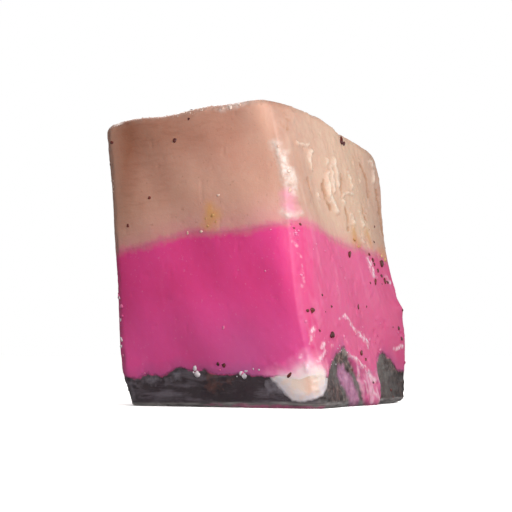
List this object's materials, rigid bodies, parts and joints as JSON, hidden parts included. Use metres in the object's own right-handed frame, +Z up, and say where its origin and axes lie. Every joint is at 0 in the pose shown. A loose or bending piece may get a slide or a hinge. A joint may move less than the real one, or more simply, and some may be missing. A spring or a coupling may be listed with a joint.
{
  "type": "fudge block",
  "caption": "Hand-cut upright block of soft fudge: a caramel layer over a bright pink layer on a thin marbled chocolate base, eaten as a sweet.",
  "frame": {"origin": "middle of the box round the block, on the flat foot that it stands on", "axes": "+Z up through the layers, from the marbled base to the caramel top; -Y faces the wide front wall and +X the right wall, which meet at the tallest upright edge"},
  "size_m": [0.0288, 0.0284, 0.0348],
  "materials": {
    "caramel_fudge": "satin, smooth cut fudge with a faint grain",
    "pink_fudge": "satin, smooth cut fudge, slightly translucent",
    "marbled_fudge": "satin chocolate fudge with white and pink marbling and a grey bloom"
  },
  "bodies": {
    "root": {"caramel_layer": "caramel_fudge", "pink_layer": "pink_fudge", "marbled_layer": "marbled_fudge"}
  },
  "joints": []
}
